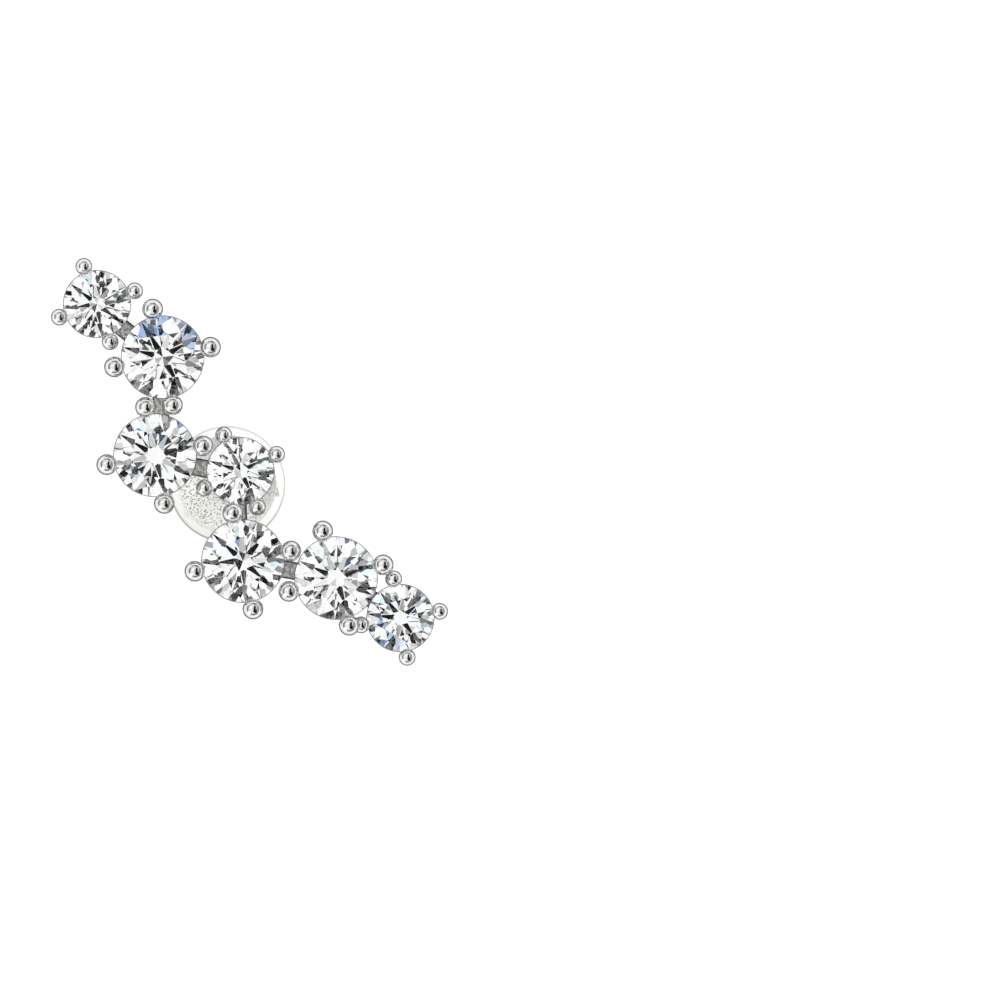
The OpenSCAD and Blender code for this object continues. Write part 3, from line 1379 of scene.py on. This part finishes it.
@dataclass(frozen=True)
class Wall:
    """The tent as polished metal mirrors it.

    It is nearly white, with a creamy front that has a few grey and bright patches, a broken grey seam
    round that front, a darker rear that gives a ball its outline, and a dark opening for the camera.
    """

    white: Colour = (0.93, 0.93, 0.915)
    cream: Colour = (0.84, 0.83, 0.775)
    seam_deg: float = 64.0
    seam_wide: Span = (0.26, 0.087)
    seam_cloud: Span = (0.3, 0.55)
    seam_grey: Colour = (0.13, 0.122, 0.116)
    seam_sway: float = 0.4
    rear_out: Span = (-0.25, -0.75)
    rear_cloud: Span = (0.133, 0.467)
    rear_grey: Colour = (0.09, 0.085, 0.082)
    cloud_scale: float = 3.0
    shades: tuple[Patch, ...] = (Patch(-0.03, 0.12, 0.1, 0.2), Patch(0.76, -0.05, 0.18, 0.5))
    shade_grey: Colour = (0.3, 0.285, 0.275)
    bright_patches: tuple[Patch, ...] = (Patch(-0.34, 0.28, 0.24, 0.2), Patch(-0.58, -0.55, 0.26, 0.26))
    bright: Colour = (1.3, 1.3, 1.28)
    opening: tuple[Patch, ...] = (Patch(0.36, -0.35, 0.36, 0.39), Patch(0.33, 0.2, 0.23, 0.5))
    dark: Colour = (0.012, 0.012, 0.013)

    def colour(self, nodes: Nodes, ray: Ray) -> Wire:
        """The wall's colour in a ray's direction.

        Args:
            nodes: the world's nodes.
            ray: the ray.

        Returns:
            The colour.
        """
        way = nodes.node("TexCoord", output="Generated")
        cloud = nodes.node("TexNoise", inputs={"Vector": way, "Scale": self.cloud_scale, "Detail": 2.0})
        sway = self.seam_sway * (cloud - NOISE_MIDDLE)
        front = ray.out - math.cos(math.radians(self.seam_deg)) + sway
        wall = nodes.mix(front.ramp(0, HORIZON), self.white, self.cream)
        seam = abs(front).ramp(*self.seam_wide) * cloud.ramp(*self.seam_cloud)
        wall = nodes.mix(seam, wall, self.seam_grey)
        rear = ray.out.ramp(*self.rear_out) * cloud.ramp(*self.rear_cloud)
        wall = nodes.mix(rear, wall, self.rear_grey)
        wall = nodes.mix(masked(self.shades, ray), wall, self.shade_grey)
        wall = nodes.mix(masked(self.bright_patches, ray), wall, self.bright)
        return nodes.mix(masked(self.opening, ray), wall, self.dark)


@dataclass(frozen=True)
class Cards:
    """Rows of small black cards that hang in the tent and give the cut stones their contrast.

    Only light that leaves a stone meets them. They shade softly into the white. There are fewer on the
    left and at the top, more close to the camera and none in a ring further out. A few patches of them are
    blue or sky blue, which gives the stones fire.
    """

    pitch: float = 21.92
    skew: float = 0.185
    squeeze: float = 0.9
    shift_right: float = 3.756
    shift_up: float = 0.158
    size: float = 0.262
    fewer_left: float = 0.516
    fewer_up: float = 0.442
    strip_pitch: float = 51.1
    strip_skew: float = 0.6
    strip_shift: float = 1.1
    strip_share: float = 0.097
    fade: float = 2.17
    fade_from: float = 0.477
    near_out: Span = (0.965, 0.99)
    near_dark: float = 0.8
    white: Colour = (1.05, 1.05, 1.05)
    black: Colour = (0.0, 0.0, 0.0)
    navy: Colour = (0.03, 0.075, 0.16)
    blue: Colour = (0.09, 0.25, 0.52)
    sky: Colour = (0.4, 0.8, 1.0)
    blue_patches: tuple[Patch, ...] = (
        Patch(0.02, 0.45, 0.12, 0.1),
        Patch(-0.27, 0.36, 0.09, 0.09),
        Patch(0.25, 0.35, 0.09, 0.08),
    )
    sky_patches: tuple[Patch, ...] = (
        Patch(0.08, 0.36, 0.06, 0.05),
        Patch(-0.3, -0.3, 0.06, 0.06),
        Patch(0.22, 0.25, 0.06, 0.05),
    )
    clear_out: float = 0.775
    clear_wide: float = 0.045
    clear_gain: float = 1.3
    blue_level: float = 0.45
    blue_wide: float = 0.4
    blue_share: float = 0.9
    sky_level: Span = (0.0, 0.667)
    sky_share: float = 0.5
    side_out: Span = (0.47, 0.345)
    side: Colour = (0.3, 0.31, 0.33)
    rear: Colour = (0.02, 0.02, 0.023)

    def colour(self, nodes: Nodes, ray: Ray) -> Wire:
        """The colour that leaves a stone in a ray's direction.

        Args:
            nodes: the world's nodes.
            ray: the ray.

        Returns:
            The colour.
        """
        columns = (self.pitch * (ray.right + self.skew * ray.up) + self.shift_right).sine()
        rows = (self.pitch * self.squeeze * (ray.up - self.skew * ray.right) + self.shift_up).sine()
        strips = (self.strip_pitch * (ray.up + self.strip_skew * ray.right) + self.strip_shift).sine()
        room = self.size - self.fewer_left * ray.right + self.fewer_up * ray.up - columns * rows
        clear = abs(ray.out - self.clear_out).ramp(self.clear_wide, 0)
        near = ray.out.ramp(*self.near_out)
        level = (room + self.strip_share * strips) * self.fade + self.fade_from
        level = (level + self.clear_gain * clear - self.near_dark * near).clamped()
        fire = masked(self.blue_patches, ray)
        colour = nodes.mix(level, nodes.mix(fire, self.black, self.navy), self.white)
        glow = fire * abs(level - self.blue_level).ramp(self.blue_wide, 0)
        colour = nodes.mix(self.blue_share * glow, colour, self.blue)
        glint = masked(self.sky_patches, ray) * level.ramp(*self.sky_level)
        colour = nodes.mix(self.sky_share * glint, colour, self.sky)
        colour = nodes.mix(ray.out.ramp(*self.side_out), colour, self.side)
        return nodes.mix(ray.out.ramp(0, -HORIZON), colour, self.rear)


@dataclass(frozen=True)
class Tent:
    """The light tent round the earring.

    The camera sees it plain white, dull things are lit softly by it, polished metal mirrors its wall,
    the stones' own gloss meets little of it, and the light that leaves the stones meets its cards.
    """

    white: Colour = (1.12, 1.12, 1.12)
    soft: Colour = (0.88, 0.88, 0.885)
    wall: Wall = Wall()
    cards: Cards = Cards()
    gloss: Colour = (0.06, 0.06, 0.0625)

    def build(self, face: Face) -> None:
        """Makes the world.

        Args:
            face: the earring's face, which the tent's front faces.
        """
        world = bpy.data.worlds.new("tent")
        world.use_nodes = True
        bpy.context.scene.world = world
        nodes = Nodes(world.node_tree)
        way = nodes.node("TexCoord", output="Generated")
        ray = Ray(*(nodes.dot(way, axis) for axis in face.axes))
        dull, glossy, sharp, mirrored, bent = (
            nodes.node("LightPath", output=f"Is {kind} Ray")
            for kind in ("Diffuse", "Glossy", "Singular", "Reflection", "Transmission")
        )
        light = nodes.mix(dull, self.white, self.soft)
        light = nodes.mix(glossy, light, self.wall.colour(nodes, ray))
        light = nodes.mix(sharp * mirrored, light, self.gloss)
        light = nodes.mix(bent, light, self.cards.colour(nodes, ray))
        nodes.end("OutputWorld", nodes.node("Background", inputs={"Color": light, "Strength": 1.0}))


def unmirrored(thing: Object) -> Object:
    """Hides a thing of the studio from the metal's and the stones' rays, and returns it.

    Args:
        thing: the lamp or the floor.

    Returns:
        The same thing.
    """
    thing.visible_glossy = False
    thing.visible_transmission = False
    return thing


@dataclass(frozen=True)
class Lamp:
    """One soft square lamp, placed on the face and aimed at its middle."""

    name: str
    right: float
    up: float
    out: float
    side: float
    watts: float

    def build(self, face: Face, aim: Vector) -> None:
        """Makes the lamp.

        Args:
            face: the earring's face.
            aim: the point that it looks at.
        """
        data = bpy.data.lights.new(self.name, "AREA")
        data.shape = "SQUARE"
        data.size = self.side * MM
        data.energy = self.watts
        lamp = unmirrored(bpy.data.objects.new(self.name, data))
        bpy.context.scene.collection.objects.link(lamp)
        lamp.location = face.point(self.right, self.up, self.out)
        lamp.rotation_euler = (aim - lamp.location).to_track_quat("-Z", "Y").to_euler()


@dataclass(frozen=True)
class PictureView:
    """The photograph's view: square to the face through a long lens, the earring in its left half."""

    distance: float = 2000.0
    px_per_mm: float = 20.5
    right: float = 12.66
    up: float = -1.41
    clip_near: float = 0.01
    clip_far: float = 20.0

    def build(self, face: Face) -> None:
        """Makes the camera.

        Args:
            face: the earring's face.
        """
        girdle = Cut(LARGE_D / 2).girdle_top
        data = bpy.data.cameras.new("picture_view")
        data.sensor_width = SENSOR_MM
        data.lens = SENSOR_MM * self.distance / (FRAME_PX / self.px_per_mm)
        data.clip_start = self.clip_near
        data.clip_end = self.clip_far
        camera = bpy.data.objects.new("picture_view", data)
        bpy.context.scene.collection.objects.link(camera)
        place = Matrix(face.axes).transposed().to_4x4()
        place.translation = face.point(self.right, self.up, girdle + self.distance)
        camera.matrix_world = place
        bpy.context.scene.camera = camera


@dataclass(frozen=True)
class Studio:
    """The pale floor, the tent, the lamps and the camera."""

    lamps: tuple[Lamp, ...] = (
        Lamp("key", right=-180.0, up=240.0, out=320.0, side=160.0, watts=0.5),
        Lamp("fill", right=260.0, up=160.0, out=300.0, side=200.0, watts=0.25),
    )
    floor_side: float = 8.0
    floor_drop: float = 0.00002
    exposure: float = 0.25
    light_bounces: int = 24

    def build(self, face: Face) -> None:
        """Sets the scene up.

        Args:
            face: the earring's face.
        """
        bpy.ops.object.select_all(action="DESELECT")
        bpy.ops.mesh.primitive_plane_add(size=self.floor_side, location=(0, 0, -self.floor_drop))
        floor = unmirrored(added("floor"))
        floor.data.materials.append(FloorFinish().material())
        Tent().build(face)
        aim = face.point(0, 0, 0)
        for lamp in self.lamps:
            lamp.build(face, aim)
        PictureView().build(face)
        scene = bpy.context.scene
        scene.view_settings.view_transform = "Standard"
        scene.view_settings.exposure = self.exposure
        scene.cycles.max_bounces = self.light_bounces
        scene.cycles.transmission_bounces = self.light_bounces
        scene.cycles.glossy_bounces = self.light_bounces


def main() -> None:
    """Builds the pieces in order, then the studio, and notes the sizes."""
    logging.basicConfig(level=logging.INFO, format="%(name)s: %(message)s")
    face = Face.from_frame(frame["nodes"], frame["joints"][0]["axis"])
    post = EarPost()
    stones = Stones(frame["nodes"])
    for part in (Settings(), LinkBars(), post, stones, SoftDisc(post), FrictionNut(post)):
        report(part.build(face))
    Studio().build(face)


if __name__ == "__main__":
    main()
